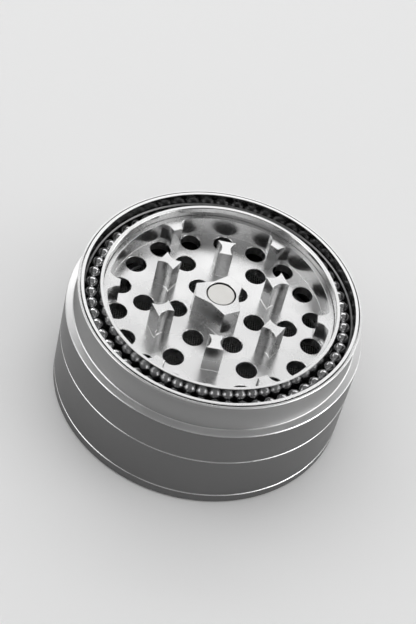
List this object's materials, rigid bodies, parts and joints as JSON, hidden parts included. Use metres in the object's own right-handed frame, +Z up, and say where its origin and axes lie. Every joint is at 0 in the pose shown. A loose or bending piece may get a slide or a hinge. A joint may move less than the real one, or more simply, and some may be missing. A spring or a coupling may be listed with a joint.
{
  "type": "herb grinder body",
  "caption": "Open hand-twist herb grinder: toothed cup with drop-through holes and a ball-race rim, over a screened chamber and a screw-on tray.",
  "frame": {"origin": "centre of the tray's flat underside, where the grinder rests", "axes": "+Z up along the common screw axis; a wall tooth and a hole circle lie on +X"},
  "size_m": [0.0628, 0.0628, 0.0297],
  "materials": {
    "anodised_body": "bead-blasted and clear anodised, satin grey",
    "cut_aluminium": "bright turned and milled",
    "race_steel": "polished",
    "ball_steel": "polished bearing steel",
    "track_black": "matt black",
    "screen_wire": "woven stainless wire",
    "magnet_coat": "matt coated disc"
  },
  "bodies": {
    "tray": {"catch_tray": "anodised_body"},
    "screen_rise_body": {"screen_keeper_ring": "cut_aluminium"},
    "screen_section": {"screen_chamber": "anodised_body", "screen_mesh": "screen_wire"},
    "grinder_rise_body": {"ball_track": "track_black"},
    "grinding_section": {"grinding_stage": "cut_aluminium", "inner_race_ring": "race_steel", "outer_race_ring": "race_steel", "hub_magnet": "magnet_coat"},
    "balls": {"ball_train": "ball_steel"}
  },
  "joints": [
    {"name": "screen_section_rise", "type": "slide", "parent": "tray", "child": "screen_rise_body", "axis": [0, 0, 1], "range_m": [0, 0.0036]},
    {"name": "screen_section_unscrew", "type": "hinge", "parent": "screen_rise_body", "child": "screen_section", "pos_m": [0, 0, 0.005], "axis": [0, 0, 1], "range_deg": [0, 630]},
    {"name": "grinding_section_rise", "type": "slide", "parent": "screen_section", "child": "grinder_rise_body", "axis": [0, 0, 1], "range_m": [0, 0.0036]},
    {"name": "grinding_section_unscrew", "type": "hinge", "parent": "grinder_rise_body", "child": "grinding_section", "pos_m": [0, 0, 0.0165], "axis": [0, 0, 1], "range_deg": [0, 630]},
    {"name": "ball_orbit", "type": "hinge", "parent": "grinding_section", "child": "balls", "pos_m": [0, 0, 0.0259], "axis": [0, 0, 1], "continuous": true}
  ],
  "couplings": [
    {"joint": "screen_section_rise", "follows": "screen_section_unscrew", "m_per_rad": 0.00031831},
    {"joint": "grinding_section_rise", "follows": "grinding_section_unscrew", "m_per_rad": 0.00031831}
  ]
}
